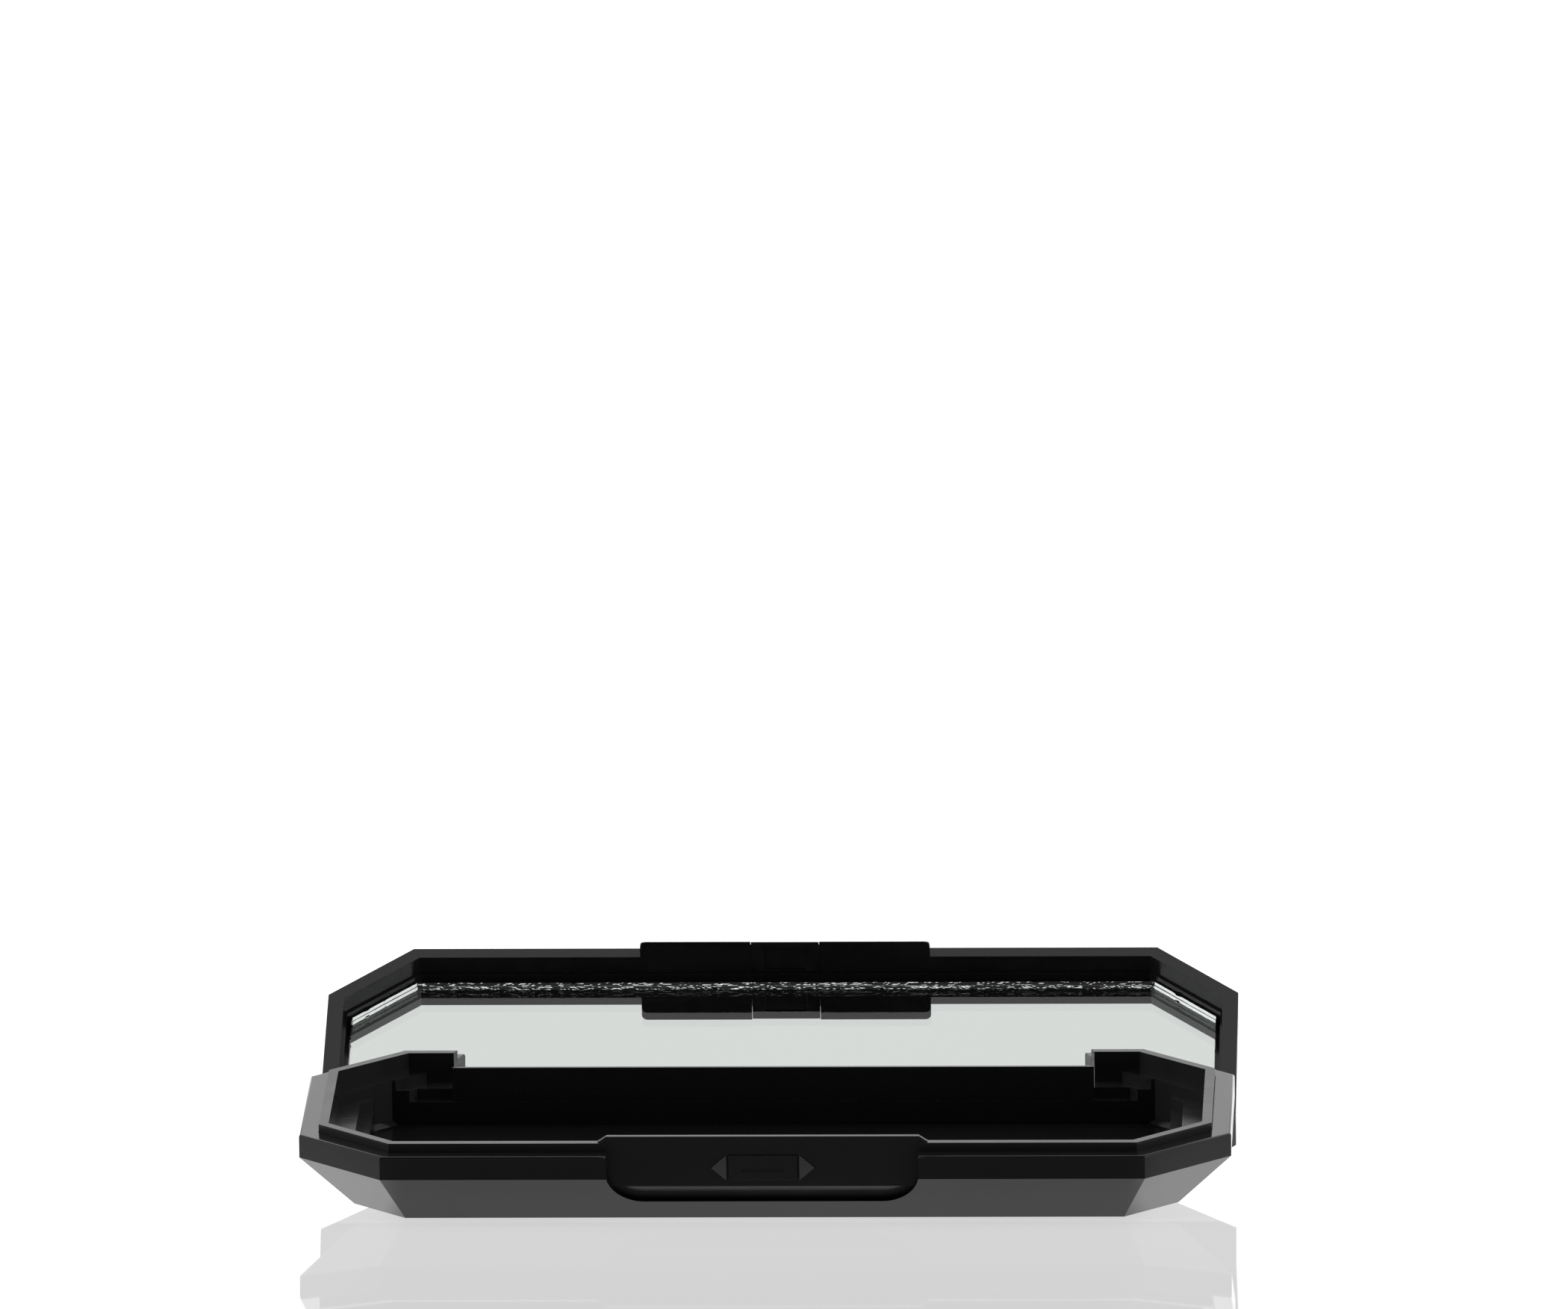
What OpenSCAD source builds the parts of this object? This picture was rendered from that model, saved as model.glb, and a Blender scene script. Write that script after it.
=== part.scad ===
// Octagonal make-up compact with a mirror lid, standing open.
// The base leans on its front bottom edge, and the lid lies back on the table behind it.
// Lengths are millimetres, angles are degrees. Every piece is drawn in the closed compact's frame:
// X to the right, Y from the thumb notch towards the hinge, Z up from the underside of the base.
// The lid's pieces are then swung open, and the whole compact is tilted onto the table.

/* [Outline] */
// Width of the compact, side to side
case_w = 110; // [100:1:120]
// Depth of the compact, front to hinge
case_d = 46; // [44:0.5:50]
// Leg of each 45 degree corner
corner = 10; // [9:0.1:11]

/* [Base shell] */
// Height of the ledge that the lid closes on
base_h = 9.2; // [8.8:0.1:9.6]
// Height of the upright band below the ledge
band_h = 2.8; // [2.4:0.1:3]
// How far the sloping facets run in at the bottom
facet_run = 6.3; // [5.8:0.1:6.6]
// Horizontal thickness of the sloping walls
slope_wall = 1.1; // [1:0.05:1.2]
// Height of the shell's inside floor
floor_z = 2.3; // [2.1:0.1:2.6]
// Depth of the shallow recess in the underside
foot_recess = 0.5; // [0.3:0.1:0.9]
// Width of the rim left standing round that recess
foot_rim = 3; // [2.5:0.1:4]
// Width of the ledge outside the tray's lip
ledge_w = 2.25; // [2.2:0.05:2.5]

/* [Thumb notch] */
// Width of the notch
notch_w = 36.8; // [34:0.2:38]
// Height of the notch's lower edge
notch_z = 2.7; // [2.4:0.1:3]
// Radius of the notch's lower corners
notch_r = 4.4; // [3:0.1:4.4]
// How far the wall behind the notch stands in from the front
notch_in = 2.7; // [2.65:0.05:2.8]

/* [Inner tray] */
// Height of the lip above the ledge
lip_h = 1; // [0.6:0.1:1]
// Width of the lip
lip_w = 1.15; // [1:0.05:1.2]
// Extra height of the lip behind the notch
lip_rise = 0.7; // [0.4:0.1:0.8]
// Length of the ramp at each end of the raised lip
lip_ramp = 1.1; // [0.8:0.1:1.5]
// Height of the upper inside ledge
shelf_z = 6.5; // [6.3:0.1:6.8]
// Width of the upper inside ledge
shelf_w = 2.6; // [2.5:0.1:3]
// Height of the lower inside ledge
step_z = 5.1; // [4.8:0.1:5.3]
// Width of the lower inside ledge
step_w = 0.9; // [0.8:0.05:1]
// How much further in the well's two ends stand
well_side = 0.6; // [0:0.1:1]
// Leg of the well's corner chamfers
well_corner = 2; // [1.5:0.1:3]
// Height of the small rests across the tray's corners
rest_z = 7.8; // [7.4:0.1:8.6]
// Width of those corner rests
rest_w = 1.5; // [1.2:0.1:1.8]
// Height of the tray's wall in front of the hinge
rear_wall_z = 9.3; // [8.8:0.1:9.5]

/* [Hinge] */
// Distance of the hinge axis from the rear face
hinge_in = 3.4; // [3.3:0.05:3.5]
// Height of the hinge axis
hinge_z = 3.6; // [3.5:0.05:3.7]
// Radius of the hinge barrels
barrel_r = 1.7; // [1.5:0.05:1.7]
// Radius of the two steel pins
pin_r = 0.6; // [0.5:0.05:0.7]
// Length of each pin
pin_l = 8.5; // [8:0.1:8.6]
// Radial clearance of the pins in the lid
pin_play = 0.05; // [0.03:0.01:0.08]
// Half width of the rear cut-out at the rear face
gap_rear = 37; // [36.9:0.1:37.2]
// Half width of the rear cut-out at the tray's lip
gap_front = 38.2; // [38:0.1:38.6]
// Half width of the lid's hinge block
block_half = 36.6; // [36.4:0.1:36.6]

/* [Lid] */
// Gap between the closed lid and the ledge
lid_gap = 0.15; // [0.1:0.05:0.2]
// How much smaller the lid's outline is on each side
lid_inset = 0.15; // [0.1:0.05:0.2]
// Distance of the rim's inner edge from the case outline
rim_in = 2.05; // [2:0.05:2.1]
// Depth of the rim's inside wall
rim_depth = 2.2; // [2:0.1:2.4]
// Depth of the mirror's face below the rim
mirror_depth = 2.95; // [2.7:0.05:3.1]
// Width of the step round the mirror's pocket
mirror_step = 0.3; // [0.2:0.05:0.5]
// Gap between the pocket's side and the mirror's edge
mirror_gap = 0.45; // [0.2:0.05:0.6]
// How far the lid's facets run in
lid_facet_run = 4.5; // [4:0.1:4.6]
// Thickness of the mirror
mirror_t = 1.2; // [1:0.1:1.3]
// Thickness of the adhesive frame behind the mirror
tape_t = 0.2; // [0.15:0.05:0.25]
// Width of the lid's shelf that the mirror is stuck to
mirror_shelf = 2.6; // [2.4:0.1:3]
// Thickness of the lid's top
lid_wall = 1.4; // [1.2:0.1:1.5]
// Width of the lid's front tab
tab_w = 35; // [33:0.1:35.2]
// How far the tab's inside face reaches below the rim
tab_drop = 2.2; // [1.8:0.1:2.4]
// How far its outside face reaches below the rim
tab_lead = 0.25; // [0.1:0.05:1]
// Radius of the tab's corners
tab_r = 0.7; // [0.5:0.1:0.8]

/* [Latch] */
// Width of the catch on the tray
catch_w = 8.1; // [7.5:0.1:8.5]
// Height of the catch
catch_h = 3; // [2.6:0.1:3]
// Height of the catch's lower edge
catch_z = 5.6; // [5.5:0.1:5.7]
// Width of the arrowhead at each end of the catch
arrow_w = 1.8; // [1.5:0.1:2]
// How far the catch stands out
catch_out = 0.2; // [0.15:0.05:0.25]
// Width of the latch plate in the lid's tab
hook_w = 8.3; // [8:0.1:8.6]
// Width of the window in the latch plate
window_w = 5.1; // [4.8:0.1:5.4]

/* [Standing pose] */
// Tilt of the base on the table
base_tilt = 11.2; // [10.8:0.1:11.8]
// Angle between the closed and the open lid
open_angle = 161.4; // [160.8:0.1:162]

/* [Hidden] */
$fn = 64;

// Overlap that keeps a cut or a joint between solids clean
bit = 0.01;
// Gap between pieces that are fitted into each other
fit = 0.05;
// Long enough to pass right through the compact
far = 200;

half_w = case_w / 2;
half_d = case_d / 2;
// Heights of the facets' upper edge, the lip and the lid's rim
facet_z = base_h - band_h;
lip_z = base_h + lip_h;
rim_z = base_h + lid_gap;
// How far in the tray's inside faces stand
tray_in = ledge_w + fit;
lip_in = tray_in + lip_w;
shelf_in = lip_in + shelf_w;
well_in = shelf_in + step_w;
// The shell's cavity narrows below this height
cavity_z = facet_z * (1 - (ledge_w - slope_wall) / facet_run);
cavity_in = facet_run * (1 - floor_z / facet_z) + slope_wall;
// Rear face of the tray's wall in front of the hinge
rear_wall_in = facet_run + fit;
// Set-back of that wall above the lower ledge
rear_wall_back = 0.1;
// Front, outer end and top of the solid lug behind each hinge barrel, and the room round it
lug_in = 5.5;
lug_end = 42.2;
lug_top = 5.5;
lug_gap = 0.1;
// Space between the lid's hinge block and the barrels
block_gap = 0.2;
// Where each pin starts in the lid, and where its hole ends in the lug
pin_inner = 33;
pin_outer = pin_inner + pin_l + 0.1;
// How deep the catch is let into the tray
catch_seat = 0.4;
// Clear space between the catch and its arrowheads
arrow_gap = 0.25;
// Height and depth of the groove across the catch
groove_h = 0.5;
groove_d = 0.15;

// Hinge axis, and its distance from the lid's rim plane
hinge_y = half_d - hinge_in;
hinge_n = rim_z - hinge_z;
// Radius of the scoop along the lid's rear rim, which clears the shell's rear edge
scoop_r = norm([hinge_in, base_h - hinge_z]) + 0.1;

// Lean of the open lid, and the height of the hinge over the table
lean = 180 + base_tilt - open_angle;
front_foot = half_d - facet_run;
hinge_height = (hinge_y + front_foot) * sin(base_tilt) + hinge_z * cos(base_tilt);
// The lid's facets have the slope of its lean, so the one at the hinge lies flat on the table,
// and its upright band is as high as it must be to bring that facet down to the table.
lid_band = (hinge_height - (hinge_in - lid_inset) * sin(lean)) / cos(lean) - hinge_n;
lid_facet_h = lid_facet_run * tan(lean);
lid_top = rim_z + lid_band + lid_facet_h;
mirror_z = rim_z + mirror_depth;
pocket_in = rim_in + mirror_step;
mirror_in = pocket_in + mirror_gap;
// Outer face of the latch plate inside the tab, and its upper end inside the lid
hook_face = 0.9;
hook_top = rim_z + rim_depth;

// Front and rear ends of the standing compact, measured from its front bottom edge
front_y = -facet_run * cos(base_tilt) - base_h * sin(base_tilt);
hinge_back = (hinge_y + front_foot) * cos(base_tilt) - hinge_z * sin(base_tilt);
rear_y = hinge_back + (half_d - lid_inset + hinge_y) * cos(lean) + (hinge_n + lid_band) * sin(lean);

shell_black = "#17181a";
tray_black = "#141516";
latch_black = "#222325";
steel = "#b9bcc0";
silver = "#d3d8d5";
tape_white = "#e6e3da";

// Outline drawn in by i from the case outline, with its corner legs cut back by extra
function outline(i, extra = 0) =
    let (hx = half_w - i, hy = half_d - i, leg = corner - i * (2 - sqrt(2)) + extra)
    [[leg - hx, -hy], [hx - leg, -hy], [hx, leg - hy], [hx, hy - leg],
     [hx - leg, hy], [leg - hx, hy], [-hx, hy - leg], [-hx, leg - hy]];

// Rectangle of the well, with its own small corners
function well_outline() =
    let (hx = half_w - well_in - well_side, hy = half_d - well_in, leg = well_corner)
    [[leg - hx, -hy], [hx - leg, -hy], [hx, leg - hy], [hx, hy - leg],
     [hx - leg, hy], [leg - hx, hy], [-hx, hy - leg], [-hx, leg - hy]];

// Upright prism on the outline drawn in by i
module prism(i, z0, z1, extra = 0) {
    translate([0, 0, z0])
        linear_extrude(z1 - z0)
            polygon(outline(i, extra));
}

// Long bar with a trapezoid section, width wide, drawn in by i0 at z0 and by i1 at z1
module sloped_bar(width, turn, i0, z0, i1, z1) {
    h = width / 2;
    rotate([0, 0, turn])
        rotate([90, 0, 0])
            linear_extrude(far, center = true)
                polygon([[i0 - h, z0], [h - i0, z0], [h - i1, z1], [i1 - h, z1]]);
}

// Octagonal frustum: every side slopes from inset i0 at z0 to inset i1 at z1
module frustum(i0, z0, i1, z1) {
    across_corners = (case_w + case_d - 2 * corner) / sqrt(2);
    intersection() {
        sloped_bar(case_w, 0, i0, z0, i1, z1);
        sloped_bar(case_d, 90, i0, z0, i1, z1);
        sloped_bar(across_corners, 45, i0, z0, i1, z1);
        sloped_bar(across_corners, -45, i0, z0, i1, z1);
    }
}

// Bar along X with the given section, drawn in (Y, Z)
module along_x(x0, x1) {
    translate([x0, 0, 0])
        rotate([90, 0, 90])
            linear_extrude(x1 - x0)
                children();
}

// Plate along Y from y0 to y1 with the given section, drawn in (X, Z)
module along_y(y0, y1) {
    translate([0, y1, 0])
        rotate([90, 0, 0])
            linear_extrude(y1 - y0)
                children();
}

// Cylinder along X on the hinge axis
module hinge_round(r, x0, x1) {
    translate([x0, hinge_y, hinge_z])
        rotate([0, 90, 0])
            cylinder(r = r, h = x1 - x0);
}

// Rounded lower corners on a plate from z0 to z1
module tongue(w, z0, z1, r) {
    translate([r - w / 2, z0])
        square([w - 2 * r, z1 - z0]);
    translate([-w / 2, z0 + r])
        square([w, z1 - z0 - r]);
    for (side = [-1, 1])
        translate([side * (w / 2 - r), z0 + r])
            circle(r);
}

// Rear cut-out, in plan, with flared ends
module rear_gap(front_in) {
    polygon([[-gap_rear, half_d + 1], [-gap_rear, half_d], [-gap_front, half_d - lip_in],
             [-gap_front, half_d - front_in], [gap_front, half_d - front_in],
             [gap_front, half_d - lip_in], [gap_rear, half_d], [gap_rear, half_d + 1]]);
}

// Cavity of the shell, drawn in by play
module cavity(play) {
    intersection() {
        frustum(cavity_in + play, floor_z, ledge_w + play, cavity_z);
        prism(ledge_w + play, floor_z + play, cavity_z);
    }
    prism(ledge_w + play, cavity_z - bit, base_h + 2);
}

// Open the lid about the hinge axis
module opened() {
    translate([0, hinge_y, hinge_z])
        rotate([-open_angle, 0, 0])
            translate([0, -hinge_y, -hinge_z])
                children();
}

// Tilt onto the table, with the origin below the middle of the compact
module on_table() {
    translate([0, -(front_y + rear_y) / 2, 0])
        rotate([base_tilt, 0, 0])
            translate([0, front_foot, 0])
                children();
}

// Barrels and solid lugs that hold the pins
module hinge_lugs() {
    for (side = [0, 1])
        mirror([side, 0, 0]) {
            hinge_round(barrel_r, block_half + block_gap, lug_end);
            translate([gap_front - bit, half_d - lug_in, floor_z - bit])
                cube([lug_end - gap_front + bit, lug_in - ledge_w + bit, lug_top - floor_z]);
        }
}

module base_shell() {
    color(shell_black)
        on_table()
            difference() {
                union() {
                    difference() {
                        intersection() {
                            prism(0, 0, base_h);
                            frustum(facet_run, 0, facet_run * (1 - base_h / facet_z), base_h);
                        }
                        cavity(0);
                        prism(facet_run + foot_rim, -1, foot_recess);
                        along_y(-half_d - 1, -half_d + cavity_in + bit)
                            tongue(notch_w, notch_z, base_h + 1, notch_r);
                        translate([0, 0, -1])
                            linear_extrude(base_h + 2)
                                rear_gap(rear_wall_in);
                    }
                    hinge_lugs();
                }
                for (side = [0, 1])
                    mirror([side, 0, 0])
                        hinge_round(pin_r, block_half, pin_outer);
            }
}

module inner_tray() {
    color(tray_black)
        on_table()
            difference() {
                union() {
                    tray_ring();
                    tray_rear_wall();
                }
                // Pocket for the catch
                along_y(-half_d + notch_in - 1, -half_d + notch_in + catch_seat + fit)
                    catch_face(fit);
            }
}

// Ring of lip, ledges and well, without the wall at the hinge
module tray_ring() {
    difference() {
        union() {
            intersection() {
                cavity(fit);
                prism(tray_in, floor_z + fit, lip_z);
            }
            raised_lip();
        }
        difference() {
            prism(lip_in, shelf_z, far);
            corner_rests();
        }
        prism(shelf_in, step_z, far);
        translate([0, 0, -1])
            linear_extrude(far)
                polygon(well_outline());
        // Wall behind the thumb notch stands a little further back
        along_y(-half_d - 1, -half_d + notch_in)
            translate([-notch_w / 2, 0])
                square([notch_w, far]);
        // Rear cut-out, and room for the hinge lugs
        translate([0, 0, -1])
            linear_extrude(far)
                rear_gap(well_in);
        translate([-lug_end - lug_gap, half_d - lug_in - lug_gap, -1])
            cube([2 * (lug_end + lug_gap), far, lug_top + lug_gap + 1]);
    }
}

// Raised stretch of lip behind the notch, with a ramp at each end
module raised_lip() {
    along_y(-half_d + notch_in, -half_d + lip_in)
        polygon([[-notch_w / 2 - lip_ramp, lip_z - bit], [-notch_w / 2, lip_z + lip_rise],
                 [notch_w / 2, lip_z + lip_rise], [notch_w / 2 + lip_ramp, lip_z - bit]]);
}

// Material left standing across the tray's corners
module corner_rests() {
    difference() {
        prism(lip_in - bit, shelf_z - bit, rest_z);
        prism(lip_in - 2 * bit, shelf_z - 1, rest_z + 1, rest_w * sqrt(2));
    }
}

module tray_rear_wall() {
    translate([-gap_front - bit, half_d - well_in, floor_z + fit])
        cube([2 * (gap_front + bit), well_in - rear_wall_in, step_z - floor_z - fit]);
    translate([-gap_front - bit, half_d - well_in + rear_wall_back, step_z - bit])
        cube([2 * (gap_front + bit), well_in - rear_wall_in - rear_wall_back,
              rear_wall_z - step_z + bit]);
}

// Face of the catch with an arrowhead pointing outwards at each end, grown by play
module catch_face(play) {
    mid = catch_z + catch_h / 2;
    translate([-catch_w / 2 - play, catch_z - play])
        square([catch_w + 2 * play, catch_h + 2 * play]);
    for (side = [-1, 1])
        polygon([[side * (catch_w / 2 + arrow_gap - play), catch_z - play],
                 [side * (catch_w / 2 + arrow_gap + arrow_w + 2 * play), mid],
                 [side * (catch_w / 2 + arrow_gap - play), catch_z + catch_h + play]]);
}

module latch_catch() {
    color(latch_black)
        on_table()
            difference() {
                along_y(-half_d + notch_in - catch_out, -half_d + notch_in + catch_seat)
                    catch_face(0);
                translate([-window_w / 2, -half_d + notch_in - catch_out - 1, catch_z + catch_h / 3])
                    cube([window_w, 1 + groove_d, groove_h]);
            }
}

module hinge_pin_right() {
    color(steel)
        on_table()
            hinge_round(pin_r, pin_inner, pin_inner + pin_l);
}

module hinge_pin_left() {
    color(steel)
        on_table()
            mirror([1, 0, 0])
                hinge_round(pin_r, pin_inner, pin_inner + pin_l);
}

// Section of the lid's hinge block: down from the rim, round the hinge axis
module block_section() {
    rear = half_d - lid_inset;
    rise = 1.2;
    join = 0.5;
    set_back = 0.15;
    facet_slope = facet_run / facet_z;
    polygon([[hinge_y - barrel_r, hinge_z], [hinge_y - barrel_r, hinge_z + rise],
             [half_d - rim_in + set_back, rim_z], [half_d - rim_in + set_back, rim_z + join],
             [rear, rim_z + join], [rear, facet_z],
             [rear - (facet_z - hinge_z) * facet_slope, hinge_z]]);
    translate([hinge_y, hinge_z])
        circle(barrel_r);
}

module lid_shell() {
    seat = rim_z + mirror_depth + mirror_t + tape_t;
    color(shell_black)
        on_table()
            opened()
                difference() {
                    union() {
                        difference() {
                            intersection() {
                                prism(lid_inset, rim_z, lid_top);
                                frustum(lid_inset - lid_band / tan(lean), rim_z,
                                        lid_inset + lid_facet_run, lid_top);
                            }
                            prism(rim_in, rim_z - 1, rim_z + rim_depth);
                            prism(pocket_in, rim_z - 1, seat);
                            prism(pocket_in + mirror_shelf, rim_z, lid_top - lid_wall);
                        }
                        along_x(-block_half, block_half)
                            block_section();
                        lid_tab();
                    }
                    hook_slot();
                    for (side = [0, 1])
                        mirror([side, 0, 0]) {
                            hinge_round(pin_r + pin_play, pin_inner - fit, block_half + 1);
                            hinge_round(scoop_r, block_half + block_gap * 0.75, half_w + 1);
                        }
                }
}

// Tab at the lid's free edge, with a tip that slopes up towards the outside
module lid_tab() {
    root = 0.5;
    difference() {
        along_y(-half_d + lid_inset, -half_d + rim_in)
            tongue(tab_w, rim_z - tab_drop, rim_z + root, tab_r);
        tab_slope(tab_w);
    }
}

// Everything below the tab's sloping tip
module tab_slope(w) {
    outer = -half_d + lid_inset;
    inner = -half_d + rim_in;
    along_x(-w / 2 - 1, w / 2 + 1)
        polygon([[outer - 1, rim_z - tab_drop - 1], [inner, rim_z - tab_drop - 1],
                 [inner, rim_z - tab_drop], [outer, rim_z - tab_lead], [outer - 1, rim_z - tab_lead]]);
}

// Slot in the tab and the rim that holds the latch plate
module hook_slot() {
    translate([-hook_w / 2, -half_d + hook_face, rim_z - tab_drop - 1])
        cube([hook_w, rim_in - hook_face + bit, hook_top - rim_z + tab_drop + 1]);
}

// Latch plate: a thin blade with a window that takes the catch
module latch_hook() {
    blade_z = rim_z - tab_drop + 0.1;
    bar_h = 1;
    window_h = 3;
    window_d = 0.3;
    color(latch_black)
        on_table()
            opened()
                difference() {
                    translate([-hook_w / 2 + fit, -half_d + hook_face + fit, blade_z])
                        cube([hook_w - 2 * fit, rim_in - hook_face - fit, hook_top - blade_z - fit]);
                    translate([-window_w / 2, -half_d + rim_in - window_d, blade_z + bar_h])
                        cube([window_w, 1, window_h]);
                    tab_slope(hook_w);
                }
}

module mirror_glass() {
    color(silver)
        on_table()
            opened()
                prism(mirror_in, mirror_z, mirror_z + mirror_t);
}

// Adhesive frame on the shelf, under the mirror's border
module mirror_tape() {
    margin = 0.3;
    z0 = mirror_z + mirror_t;
    color(tape_white)
        on_table()
            opened()
                difference() {
                    prism(mirror_in + margin, z0, z0 + tape_t);
                    prism(pocket_in + mirror_shelf - margin, z0 - 1, z0 + 1);
                }
}

base_shell();
inner_tray();
latch_catch();
hinge_pin_left();
hinge_pin_right();
lid_shell();
latch_hook();
mirror_glass();
mirror_tape();
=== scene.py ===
"""Looks for the octagonal make-up compact: materials, rounded edges, the mirror, and a white studio."""

import math

import bpy
from mathutils import Matrix, Vector, noise


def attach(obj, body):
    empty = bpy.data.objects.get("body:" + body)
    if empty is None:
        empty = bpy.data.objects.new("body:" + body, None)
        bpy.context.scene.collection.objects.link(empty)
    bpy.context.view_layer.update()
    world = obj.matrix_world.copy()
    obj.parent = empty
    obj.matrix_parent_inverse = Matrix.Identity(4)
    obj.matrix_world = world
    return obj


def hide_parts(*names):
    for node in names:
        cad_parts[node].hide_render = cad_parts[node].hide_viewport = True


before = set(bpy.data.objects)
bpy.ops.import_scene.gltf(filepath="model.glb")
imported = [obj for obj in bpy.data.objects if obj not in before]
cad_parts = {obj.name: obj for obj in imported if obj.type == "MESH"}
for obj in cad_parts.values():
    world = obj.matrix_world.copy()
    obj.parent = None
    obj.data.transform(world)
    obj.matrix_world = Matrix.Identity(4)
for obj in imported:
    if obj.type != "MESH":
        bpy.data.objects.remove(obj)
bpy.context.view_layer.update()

MM = 0.001
GLASS_IOR = 1.52
FLOOR_IOR = 1.49
BASE_TILT = math.radians(11.2)


# ---------------------------------------------------------------- node helpers

def grey(value, blue=0.0):
    """An opaque grey, with a little more blue where asked."""
    return (value, value, value + blue, 1.0)


class Nodes:
    """Short calls for building one node tree."""

    def __init__(self, tree, keep=False):
        self.tree = tree
        if not keep:
            tree.nodes.clear()

    def find(self, kind):
        return next(node for node in self.tree.nodes if node.type == kind)

    def add(self, kind, **values):
        node = self.tree.nodes.new(kind)
        for name, value in values.items():
            setattr(node, name, value)
        return node

    def link(self, out_socket, in_socket):
        self.tree.links.new(out_socket, in_socket)

    def feed(self, socket, value):
        """Sets a socket to a number or colour, or links another socket to it."""
        if isinstance(value, bpy.types.NodeSocket):
            self.link(value, socket)
        else:
            socket.default_value = value

    def math(self, operation, first, second=0.0):
        node = self.add("ShaderNodeMath", operation=operation)
        self.feed(node.inputs[0], first)
        self.feed(node.inputs[1], second)
        return node.outputs[0]

    def ramp(self, value, low, high, low_to=0.0, high_to=1.0):
        """Maps value from low..high to low_to..high_to, with a smooth step."""
        node = self.add("ShaderNodeMapRange", interpolation_type="SMOOTHSTEP")
        for socket, entry in zip(node.inputs, (value, low, high, low_to, high_to)):
            self.feed(socket, entry)
        return node.outputs[0]

    def noise(self, where, scale, detail=2.0, roughness=0.5):
        node = self.add("ShaderNodeTexNoise")
        self.link(where, node.inputs["Vector"])
        node.inputs["Scale"].default_value = scale
        node.inputs["Detail"].default_value = detail
        node.inputs["Roughness"].default_value = roughness
        return node.outputs["Fac"]

    def stretched(self, where, scale, turn=(0.0, 0.0, 0.0)):
        node = self.add("ShaderNodeMapping")
        self.link(where, node.inputs["Vector"])
        node.inputs["Scale"].default_value = scale
        node.inputs["Rotation"].default_value = turn
        return node.outputs[0]

    def mix_colour(self, fac, first, second):
        node = self.add("ShaderNodeMix", data_type="RGBA")
        self.feed(node.inputs["Factor"], fac)
        self.feed(node.inputs["A"], first)
        self.feed(node.inputs["B"], second)
        return node.outputs["Result"]

    def show(self, shader):
        """Wires a shader node to the output."""
        self.link(shader.outputs[0], self.find("OUTPUT_MATERIAL").inputs["Surface"])

    def bump(self, height, strength, distance, normal=None):
        node = self.add("ShaderNodeBump")
        node.inputs["Strength"].default_value = strength
        node.inputs["Distance"].default_value = distance
        self.link(height, node.inputs["Height"])
        if normal is not None:
            self.link(normal, node.inputs["Normal"])
        return node.outputs[0]


def material(name):
    """An empty material and its nodes, with a Principled shader wired to the output."""
    made = bpy.data.materials.new(name)
    made.use_nodes = True
    nodes = Nodes(made.node_tree)
    shader = nodes.add("ShaderNodeBsdfPrincipled")
    output = nodes.add("ShaderNodeOutputMaterial")
    nodes.link(shader.outputs[0], output.inputs["Surface"])
    where = nodes.add("ShaderNodeTexCoord").outputs["Object"]
    return made, nodes, shader, where


def black_plastic(name, tones, blue, ior, roughness, peel):
    """Moulded black plastic: faint flow tones, fine moulding texture and a few hairline scratches.

    tones and roughness are each a low and a high value, and peel is the strength of the texture.
    """
    made, nodes, shader, where = material(name)
    flow = nodes.noise(where, 60.0, 3.0)
    nodes.feed(shader.inputs["Base Color"], nodes.mix_colour(flow, *(grey(tone, blue) for tone in tones)))
    shader.inputs["IOR"].default_value = ior
    haze_and_painted_sheen = nodes.noise(where, 180.0, 4.0, 0.6)
    scratch_at = nodes.stretched(where, (40.0, 900.0, 900.0), (0.3, 0.2, 0.4))
    scratch = nodes.ramp(nodes.noise(scratch_at, 1.0, 2.0), 0.66, 0.72)
    rough = nodes.ramp(haze_and_painted_sheen, 0.3, 0.7, *roughness)
    rough = nodes.math("ADD", rough, nodes.math("MULTIPLY", scratch, 0.05))
    nodes.feed(shader.inputs["Roughness"], rough)
    peel_height = nodes.noise(where, 420.0, 3.0)
    grain = nodes.noise(where, 2600.0, 2.0)
    normal = nodes.bump(peel_height, peel, 0.00002)
    normal = nodes.bump(grain, 0.05, 0.000004, normal)
    nodes.feed(shader.inputs["Normal"], normal)
    return made


# ---------------------------------------------------------------- materials

shell_black = black_plastic("shell_black", (0.0100, 0.0135), 0.0004, 1.32, (0.10, 0.16), 0.04)
tray_black = black_plastic("tray_black", (0.0130, 0.0190), 0.0004, 1.28, (0.18, 0.26), 0.05)
latch_black = black_plastic("latch_black", (0.0060, 0.0100), 0.0002, 1.32, (0.14, 0.20), 0.08)


def catch_black():
    """Satin black, with paler arrowheads at the two ends."""
    arrow_from, arrow_by = 4.15 * MM, 4.25 * MM
    made = black_plastic("catch_black", (0.012, 0.017), 0.0002, 1.30, (0.25, 0.35), 0.2)
    nodes = Nodes(made.node_tree, keep=True)
    shader = nodes.find("BSDF_PRINCIPLED")
    plain = shader.inputs["Base Color"].links[0].from_socket
    place = nodes.add("ShaderNodeSeparateXYZ")
    nodes.link(nodes.find("TEX_COORD").outputs["Object"], place.inputs[0])
    arrow = nodes.ramp(nodes.math("ABSOLUTE", place.outputs["X"]), arrow_from, arrow_by)
    nodes.feed(shader.inputs["Base Color"], nodes.mix_colour(arrow, plain, grey(0.075)))
    return made


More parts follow.
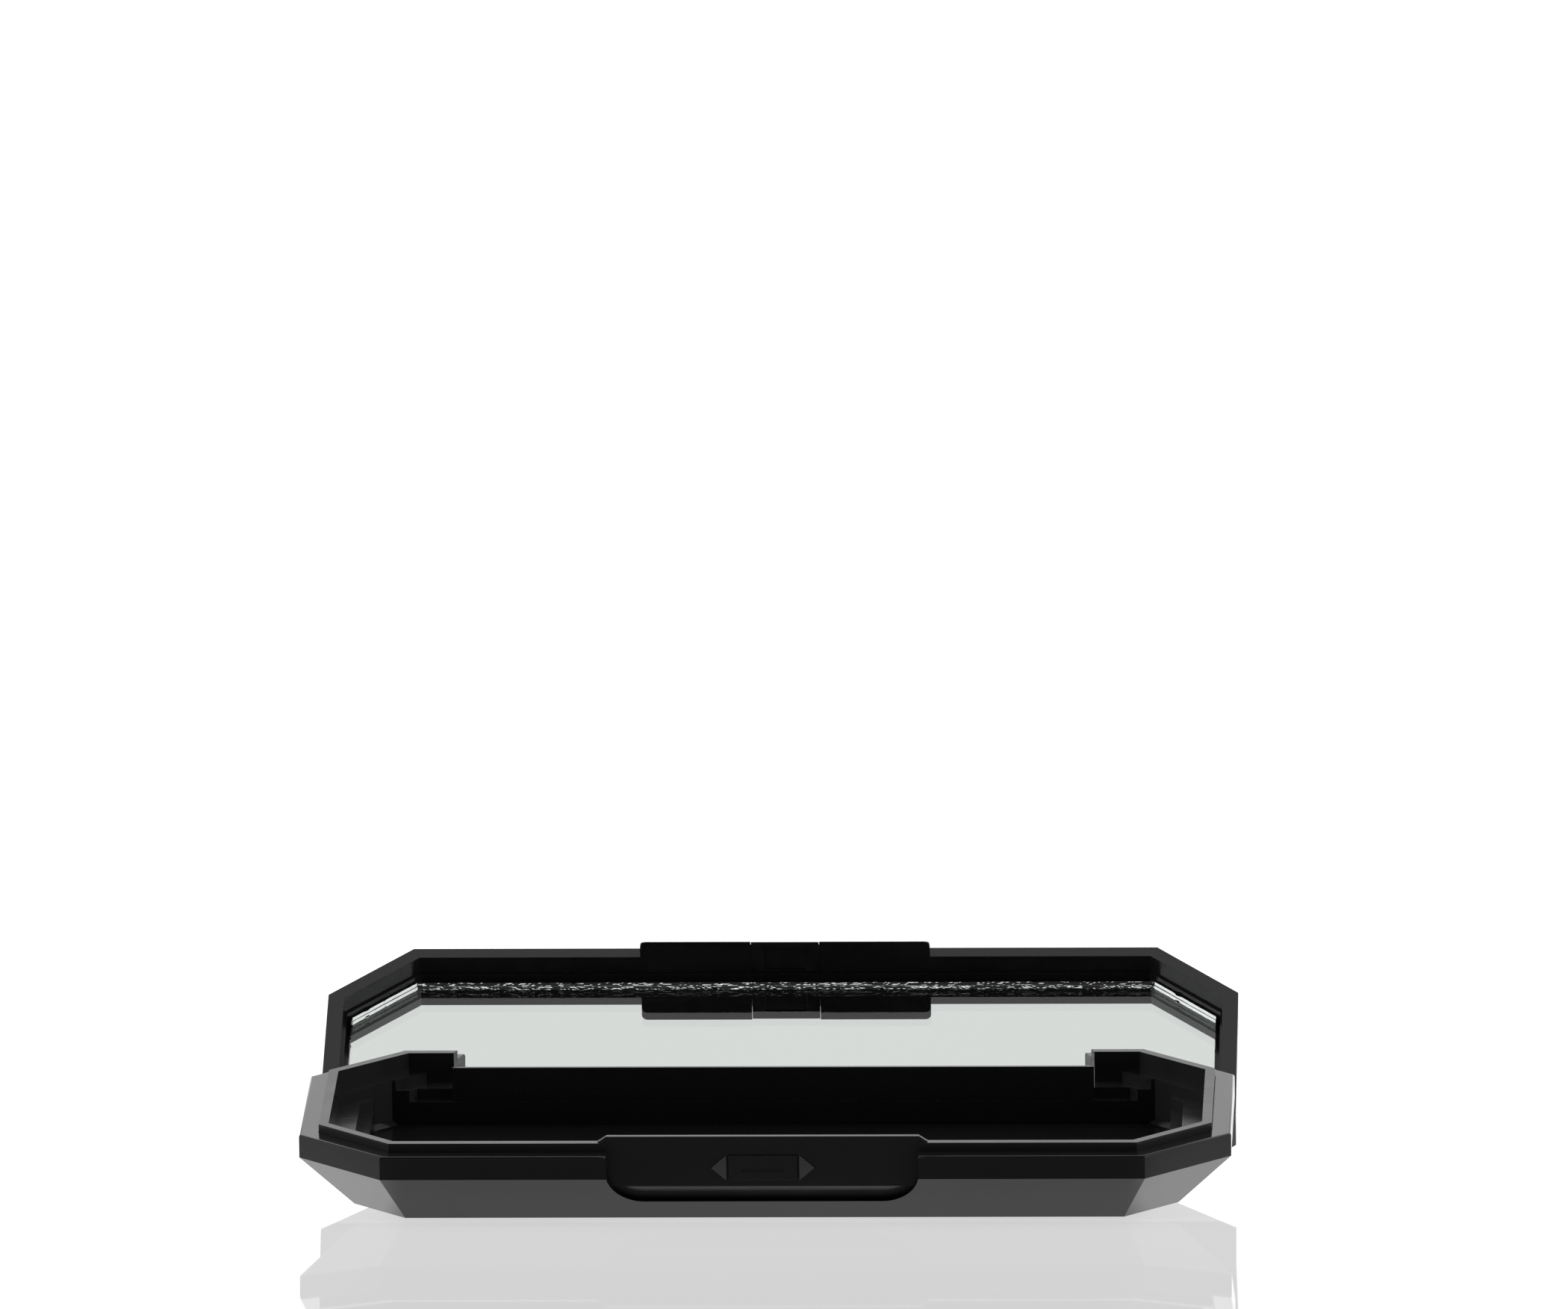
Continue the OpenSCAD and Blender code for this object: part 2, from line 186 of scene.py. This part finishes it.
def silver_coat():
    """The mirror's silvering, with faint smudges."""
    made, nodes, shader, where = material("mirror_silver")
    tone = nodes.noise(where, 25.0, 2.0)
    nodes.feed(shader.inputs["Base Color"],
               nodes.mix_colour(tone, (0.875, 0.905, 0.885, 1.0), (0.89, 0.915, 0.895, 1.0)))
    shader.inputs["Metallic"].default_value = 1.0
    smudge = nodes.ramp(nodes.noise(where, 90.0, 4.0, 0.6), 0.55, 0.75, 0.0, 0.012)
    nodes.feed(shader.inputs["Roughness"], nodes.math("ADD", smudge, 0.004))
    nodes.feed(shader.inputs["Normal"], nodes.bump(nodes.noise(where, 40.0, 1.0), 0.02, 0.00001))
    return made


def mirror_glass():
    """Clear glass with a faint green tint and a few dull smudges."""
    made, nodes, shader, where = material("mirror_glass")
    tone = nodes.noise(where, 35.0, 2.0)
    nodes.feed(shader.inputs["Base Color"],
               nodes.mix_colour(tone, (0.975, 0.99, 0.985, 1.0), (0.985, 0.995, 0.99, 1.0)))
    shader.inputs["Transmission Weight"].default_value = 1.0
    shader.inputs["IOR"].default_value = GLASS_IOR
    shader.inputs["Specular IOR Level"].default_value = 0.2
    smudge = nodes.ramp(nodes.noise(where, 120.0, 4.0, 0.6), 0.6, 0.8, 0.0, 0.01)
    nodes.feed(shader.inputs["Roughness"], smudge)
    nodes.feed(shader.inputs["Normal"], nodes.bump(nodes.noise(where, 55.0, 1.0), 0.01, 0.00001))
    return made


def cut_glass():
    """The snapped edge of the glass: clear, with a few white crushed specks."""
    made, nodes, shader, where = material("mirror_cut_edge")
    shader.inputs["Transmission Weight"].default_value = 1.0
    shader.inputs["IOR"].default_value = GLASS_IOR
    tone = nodes.noise(where, 900.0, 2.0)
    nodes.feed(shader.inputs["Base Color"],
               nodes.mix_colour(tone, (0.90, 0.93, 0.915, 1.0), (0.96, 0.98, 0.97, 1.0)))
    nodes.feed(shader.inputs["Roughness"], nodes.ramp(tone, 0.3, 0.7, 0.0, 0.03))
    crushed = nodes.add("ShaderNodeBsdfPrincipled")
    nodes.feed(crushed.inputs["Base Color"],
               nodes.mix_colour(tone, (0.86, 0.87, 0.87, 1.0), (0.95, 0.95, 0.95, 1.0)))
    nodes.feed(crushed.inputs["Roughness"], nodes.ramp(tone, 0.3, 0.7, 0.4, 0.6))
    grain = nodes.noise(where, 4000.0, 2.0)
    nodes.feed(shader.inputs["Normal"], nodes.bump(grain, 0.05, 0.00001))
    nodes.feed(crushed.inputs["Normal"], nodes.bump(grain, 0.6, 0.00004))
    streak = nodes.noise(nodes.stretched(where, (700.0, 1500.0, 4200.0)), 1.0, 3.0, 0.6)
    amount = nodes.ramp(streak, 0.66, 0.70)
    blend = nodes.add("ShaderNodeMixShader")
    nodes.link(amount, blend.inputs["Fac"])
    nodes.link(shader.outputs[0], blend.inputs[1])
    nodes.link(crushed.outputs[0], blend.inputs[2])
    nodes.show(blend)
    return made


def steel_wire():
    """Drawn wire, streaked along its length."""
    made, nodes, shader, where = material("steel_wire")
    drawn = nodes.noise(nodes.stretched(where, (60.0, 6000.0, 6000.0)), 1.0, 3.0)
    nodes.feed(shader.inputs["Base Color"],
               nodes.mix_colour(drawn, (0.42, 0.43, 0.45, 1.0), (0.60, 0.61, 0.63, 1.0)))
    shader.inputs["Metallic"].default_value = 1.0
    nodes.feed(shader.inputs["Roughness"], nodes.ramp(drawn, 0.3, 0.7, 0.22, 0.38))
    nodes.feed(shader.inputs["Normal"], nodes.bump(drawn, 0.3, 0.00001))
    return made


def adhesive_foam():
    """Off-white foam with fine cells."""
    made, nodes, shader, where = material("adhesive_foam")
    cells = nodes.noise(where, 3000.0, 3.0)
    nodes.feed(shader.inputs["Base Color"],
               nodes.mix_colour(cells, (0.70, 0.68, 0.62, 1.0), (0.84, 0.82, 0.77, 1.0)))
    nodes.feed(shader.inputs["Roughness"], nodes.ramp(cells, 0.3, 0.7, 0.75, 0.95))
    nodes.feed(shader.inputs["Normal"], nodes.bump(cells, 0.5, 0.00003))
    return made


pin_steel = steel_wire()
finishes = {
    "base_shell": shell_black,
    "inner_tray": tray_black,
    "latch_catch": catch_black(),
    "hinge_pin_left": pin_steel,
    "hinge_pin_right": pin_steel,
    "lid_shell": shell_black,
    "latch_hook": latch_black,
    "mirror_glass": mirror_glass(),
    "mirror_tape": adhesive_foam(),
}

for node_name, finish in finishes.items():
    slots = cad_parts[node_name].data.materials
    slots.clear()
    slots.append(finish)


# ---------------------------------------------------------------- rounded edges

# Bevel widths in mm
EDGE_WIDTHS = {
    "base_shell": 0.12,
    "inner_tray": 0.10,
    "lid_shell": 0.10,
    "latch_hook": 0.06,
    "latch_catch": 0.05,
}
LEDGE_EDGE_WIDTH = 0.30
WELD_REACH = 0.002 * MM
SHARP_ANGLE = math.radians(25)


def add_bevel(thing, name, width, segments):
    bevel = thing.modifiers.new(name, "BEVEL")
    bevel.width = width
    bevel.segments = segments
    bevel.use_clamp_overlap = True
    bevel.harden_normals = False
    return bevel


def round_edges(node, width, soft_group=None, soft_width=0.0):
    """Joins the node's faces and rounds its moulded edges, those of soft_group with a wider radius."""
    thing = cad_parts[node]
    weld = thing.modifiers.new("weld", "WELD")
    weld.merge_threshold = WELD_REACH
    if soft_group:
        soft = add_bevel(thing, "soft_bevel", soft_width, 4)
        soft.limit_method = "VGROUP"
        soft.vertex_group = soft_group
    bevel = add_bevel(thing, "bevel", width, 2)
    bevel.limit_method = "ANGLE"
    bevel.angle_limit = SHARP_ANGLE
    even = thing.modifiers.new("even_normals", "WEIGHTED_NORMAL")
    even.mode = "FACE_AREA"
    even.weight = 100
    even.keep_sharp = False


def ledge_edge_group():
    """A vertex group of the outer edge of the shell's ledge, which is moulded with a wider radius."""
    level, close = 0.02 * MM, 0.1 * MM
    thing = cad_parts["base_shell"]
    along = Vector((0, math.cos(BASE_TILT), math.sin(BASE_TILT)))
    above = Vector((0, -math.sin(BASE_TILT), math.cos(BASE_TILT)))
    points = thing.data.vertices
    top = max(point.co.dot(above) for point in points)
    ledge = [(point.index, abs(point.co.x), point.co.dot(along))
             for point in points if point.co.dot(above) > top - level]
    front, rear = min(spot[2] for spot in ledge), max(spot[2] for spot in ledge)
    half_depth, middle = (rear - front) / 2, (rear + front) / 2
    half_width = max(x for _, x, _ in ledge)
    reach = max(x + abs(y - middle) for _, x, y in ledge)
    edge = [index for index, x, y in ledge
            if x > half_width - close or abs(y - middle) > half_depth - close
            or x + abs(y - middle) > reach - close]
    thing.vertex_groups.new(name="ledge_edge").add(edge, 1.0, "REPLACE")
    return "ledge_edge"


for node_name, width in EDGE_WIDTHS.items():
    if node_name == "base_shell":
        round_edges(node_name, width * MM, ledge_edge_group(), LEDGE_EDGE_WIDTH * MM)
    else:
        round_edges(node_name, width * MM)


# ---------------------------------------------------------------- mirror

# How far the glass stands in from the CAD mirror's sides, chamfers and free edge, in mm
GLASS_IN = (0.0, -0.28, 0.30)
# How much further in the silvering stands all round, its depth from the back and its thickness, in mm
SILVER_IN = 0.14
SILVER_DEPTH = 0.03
SILVER_THICK = 0.01
# Depths of the cut edge's rows, as parts of the glass's thickness, and the step round it in mm
CUT_ROWS = [0.0, 0.05, 0.2, 0.38, 0.58, 0.78, 0.95, 1.0]
CUT_STEP = 0.2


def mesh_piece(name, points, faces, finish):
    mesh = bpy.data.meshes.new(name)
    mesh.from_pydata(points, [], faces)
    mesh.update()
    mesh.materials.append(finish)
    piece = bpy.data.objects.new(name, mesh)
    bpy.context.scene.collection.objects.link(piece)
    return piece


class MirrorPlace:
    """Where the lid's mirror lies: its middle, its directions and the corners of its face."""

    def __init__(self):
        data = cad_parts["mirror_glass"].data
        flat = [face for face in data.polygons if face.normal.z > 0.5]
        self.out = max(flat, key=lambda face: face.area).normal.normalized()
        self.across = Vector((1, 0, 0))
        self.up = self.out.cross(self.across)
        heights = [point.co.dot(self.out) for point in data.vertices]
        self.face, self.back = max(heights), min(heights)
        front = [point.co for point in data.vertices if point.co.dot(self.out) > self.face - 0.01 * MM]
        spots = {(round(co.dot(self.across), 7), round(co.dot(self.up), 7)) for co in front}
        self.middle = Vector([(max(axis) + min(axis)) / 2 for axis in zip(*spots)])
        self.corners = sorted((Vector(spot) for spot in spots),
                              key=lambda spot: math.atan2(*reversed(spot - self.middle)))

    def world(self, spot, depth):
        """A spot on the face, depth behind it, in the scene's frame."""
        return self.across * spot.x + self.up * spot.y + self.out * (self.face - depth)

    def outline(self, side_in, chamfer_in, free_in):
        """The face's corners with its straight sides, chamfers and free edge drawn in, in metres."""
        lines = []
        for first, second in zip(self.corners, self.corners[1:] + self.corners[:1]):
            along = (second - first).normalized()
            outward = Vector((along.y, -along.x))
            slanted = min(abs(along.x), abs(along.y)) > 0.3
            inset = chamfer_in if slanted else free_in if outward.y > 0.9 else side_in
            lines.append((first - outward * inset, along))
        return [crossing(lines[k - 1], lines[k]) for k in range(len(lines))]


def crossing(first, second):
    """Where two lines, each a point and a direction, cross."""
    (p, d), (q, e) = first, second
    reach = ((q - p).x * e.y - (q - p).y * e.x) / (d.x * e.y - d.y * e.x)
    return p + d * reach


def walk(corners, step):
    """Even steps round a polygon: each spot, its outward direction and the distance walked."""
    walked = 0.0
    for first, second in zip(corners, corners[1:] + corners[:1]):
        along = second - first
        count = max(2, round(along.length / step))
        outward = Vector((along.y, -along.x)).normalized()
        for k in range(count):
            yield first + along * (k / count), outward, walked + along.length * k / count
        walked += along.length


def drift(distance, rate, across, seed):
    """A smooth random height along the cut edge, in waves of about 1 / rate mm."""
    return noise.noise(Vector((distance * rate, across, seed)))


def cut_inset(distance, row, rows):
    """How far a snapped glass edge stands in, in mm, at a distance along it and a row through it."""
    mean_in, chip_from = 0.06, 0.25
    wave = 0.05 * drift(distance, 0.12, 0.0, 3.0)
    ripple = 0.012 * drift(distance, 0.8, row * 0.25, 9.0)
    hackle = 0.006 * drift(distance, 2.7, row * 0.9, 21.0)
    chip = max(0.0, drift(distance, 0.7, 7.0, 40.0) - chip_from)
    chip_depth = 0.5 * chip * max(0.0, 1.0 - row / (0.35 * rows))
    nick = 0.04 * max(0.0, 0.3 + drift(distance, 1.3, 5.0, 60.0)) if row == 0 else 0.0
    return mean_in + wave + ripple + hackle + chip_depth + nick


def mirror_plate(place):
    """The glass, with its snapped and slightly chipped edge."""
    thick = place.face - place.back
    rows = len(CUT_ROWS) - 1
    loop = list(walk(place.outline(*(inset * MM for inset in GLASS_IN)), CUT_STEP * MM))
    points = [place.world(spot - outward * cut_inset(distance / MM, row, rows) * MM, depth * thick)
              for row, depth in enumerate(CUT_ROWS) for spot, outward, distance in loop]
    count = len(loop)
    faces = [tuple(range(count)), tuple(reversed(range(rows * count, (rows + 1) * count)))]
    for row in range(rows):
        here, below = row * count, (row + 1) * count
        for k in range(count):
            after = (k + 1) % count
            faces.append((here + k, below + k, below + after, here + after))
    plate = mesh_piece("mirror_plate", points, faces, finishes["mirror_glass"])
    plate.data.materials.append(cut_glass())
    for face in plate.data.polygons[2:]:
        face.material_index = 1
    return plate


def silver_sheet(place):
    """The silvering, just inside the back of the glass."""
    front_depth = place.face - place.back - SILVER_DEPTH * MM
    corners = place.outline(*((inset + SILVER_IN) * MM for inset in GLASS_IN))
    depths = (front_depth, front_depth + SILVER_THICK * MM)
    points = [place.world(spot, depth) for depth in depths for spot in corners]
    count = len(corners)
    faces = [tuple(range(count)), tuple(reversed(range(count, 2 * count)))]
    faces += [(k, count + k, count + (k + 1) % count, (k + 1) % count) for k in range(count)]
    return mesh_piece("mirror_silver", points, faces, silver_coat())


mirror_place = MirrorPlace()
for piece in (mirror_plate(mirror_place), silver_sheet(mirror_place)):
    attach(piece, "lid")
    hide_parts("mirror_glass")


# ---------------------------------------------------------------- studio

def studio_world():
    """White behind and above, brightest low behind, and falling off to a dark room in front."""
    dark_room = 0.016
    world = bpy.data.worlds.new("studio")
    world.use_nodes = True
    bpy.context.scene.world = world
    nodes = Nodes(world.node_tree)
    where = nodes.add("ShaderNodeTexCoord").outputs["Generated"]
    split = nodes.add("ShaderNodeSeparateXYZ")
    nodes.link(where, split.inputs[0])
    height, depth = split.outputs["Z"], split.outputs["Y"]
    bright = nodes.ramp(height, 0.45, 0.9, 1.3, 0.78)
    front = nodes.ramp(nodes.math("MULTIPLY", depth, -1.0), 0.0, 0.85, 1.0, dark_room)
    horizon = nodes.ramp(height, 0.10, 0.22, 1.0, 0.0)
    bright = nodes.math("ADD", bright, nodes.math("MULTIPLY", horizon, nodes.ramp(depth, 0.3, 0.7)))
    strength = nodes.math("MULTIPLY", bright, front)
    backdrop = nodes.add("ShaderNodeBackground")
    backdrop.inputs["Color"].default_value = (1.0, 1.0, 1.0, 1.0)
    nodes.link(strength, backdrop.inputs["Strength"])
    output = nodes.add("ShaderNodeOutputWorld")
    nodes.link(backdrop.outputs[0], output.inputs["Surface"])


def floor_material():
    """Dark grey acrylic with a thin polish, made white by a painted glow, and a painted sheen that shows at
    a low angle.

    The glow is painted emission, though the floor is no lamp: full behind the compact's front edge, dim in
    front of it as painted shade, and dimmer in the middle strip where the compact stands as a painted
    shadow, so most at the sides.
    """
    # Painted glow levels: a painted shadow in the middle strip under the compact, brighter at the sides, and
    # painted shade in front of its front edge.
    side_from, side_to, painted_shadow_glow, side_painted_glow = 42.5 * MM, 46.5 * MM, 1.08, 1.85
    front_from, front_to, painted_shade_share = -44.0 * MM, -39.5 * MM, 0.14
    # Strength of the painted sheen at a low angle, and the share of the rough lobe.
    painted_sheen_strength, dull_share = 1.39, 0.67
    made, nodes, shader, where = material("floor_acrylic")
    tone = nodes.noise(where, 3.0, 2.0)
    colour = nodes.mix_colour(tone, (0.14, 0.14, 0.14, 1.0), (0.16, 0.16, 0.16, 1.0))
    place = nodes.add("ShaderNodeSeparateXYZ")
    nodes.link(where, place.inputs[0])
    sideways = nodes.math("ABSOLUTE", place.outputs["X"])
    # Painted shadow under the compact: a dimmer glow in the middle, a brighter glow at the sides.
    painted_shadow_across = nodes.ramp(sideways, side_from, side_to, painted_shadow_glow, side_painted_glow)
    # Painted shade: the glow is dim in front of the compact's front edge.
    behind = nodes.ramp(place.outputs["Y"], front_from, front_to, painted_shade_share, 1.0)
    polish = nodes.add("ShaderNodeFresnel")
    polish.inputs["IOR"].default_value = FLOOR_IOR
    low_angle = polish.outputs[0]
    # The painted glow fades at a low viewing angle, and a painted sheen stands in for the reflection of the
    # bright room there.
    painted_glow_fade = nodes.math("POWER", nodes.math("SUBTRACT", 1.0, low_angle), 3.0)
    haze_and_painted_sheen = nodes.math("MULTIPLY", nodes.math("POWER", low_angle, 2.0), painted_sheen_strength)
    painted_glow = nodes.math("MULTIPLY", nodes.math("MULTIPLY", painted_shadow_across, behind), painted_glow_fade)
    painted_glow = nodes.math("ADD", painted_glow, haze_and_painted_sheen)
    dull = nodes.add("ShaderNodeBsdfPrincipled")
    dull.inputs["Specular IOR Level"].default_value = 0.0
    for surface, rough_low, rough_high in ((shader, 0.01, 0.02), (dull, 0.5, 0.6)):
        nodes.feed(surface.inputs["Base Color"], colour)
        surface.inputs["IOR"].default_value = FLOOR_IOR
        # The painted glow and painted sheen are emission, though the floor is no lamp.
        surface.inputs["Emission Color"].default_value = (1.0, 1.0, 1.0, 1.0)
        nodes.feed(surface.inputs["Emission Strength"], painted_glow)
        nodes.feed(surface.inputs["Roughness"], nodes.ramp(tone, 0.3, 0.7, rough_low, rough_high))
        nodes.feed(surface.inputs["Normal"], nodes.bump(nodes.noise(where, 30.0, 1.0), 0.01, 0.00001))
    blend = nodes.add("ShaderNodeMixShader")
    blend.inputs["Fac"].default_value = dull_share
    nodes.link(shader.outputs[0], blend.inputs[1])
    nodes.link(dull.outputs[0], blend.inputs[2])
    nodes.show(blend)
    return made


def studio_floor():
    """A wide sheet of acrylic, level with the underside of the compact, whose white is a painted glow."""
    reach = 3.0
    below = 0.01 * MM
    mesh = bpy.data.meshes.new("floor")
    corners = [(-reach, -reach, 0), (reach, -reach, 0), (reach, reach, 0), (-reach, reach, 0)]
    mesh.from_pydata(corners, [], [(0, 1, 2, 3)])
    floor = bpy.data.objects.new("floor", mesh)
    bpy.context.scene.collection.objects.link(floor)
    mesh.materials.append(floor_material())
    floor.location.z = -below


def studio_camera():
    """Low and far off, a little to the right, as a product photographer stands with a long lens."""
    aim = Vector((2.47, -30.59, 66.21)) * MM
    distance = 2886.7 * MM
    lens = 562.34
    elevation, yaw, roll = math.radians(3.228), math.radians(2.008), math.radians(0.266)
    across = Vector((math.cos(yaw), math.sin(yaw), 0))
    level = Vector((-math.sin(yaw), math.cos(yaw), 0))
    ahead = level * math.cos(elevation) - Vector((0, 0, math.sin(elevation)))
    above = level * math.sin(elevation) + Vector((0, 0, math.cos(elevation)))
    right = across * math.cos(roll) - above * math.sin(roll)
    up = across * math.sin(roll) + above * math.cos(roll)
    data = bpy.data.cameras.new("camera")
    data.sensor_width = 36.0
    data.lens = lens
    data.clip_start, data.clip_end = 0.1, 50.0
    camera = bpy.data.objects.new("camera", data)
    bpy.context.scene.collection.objects.link(camera)
    turn = Matrix((right, up, -ahead)).transposed().to_4x4()
    camera.matrix_world = Matrix.Translation(aim - ahead * distance) @ turn
    bpy.context.scene.camera = camera


studio_world()
studio_floor()
studio_camera()
bpy.context.scene.view_settings.view_transform = "Standard"
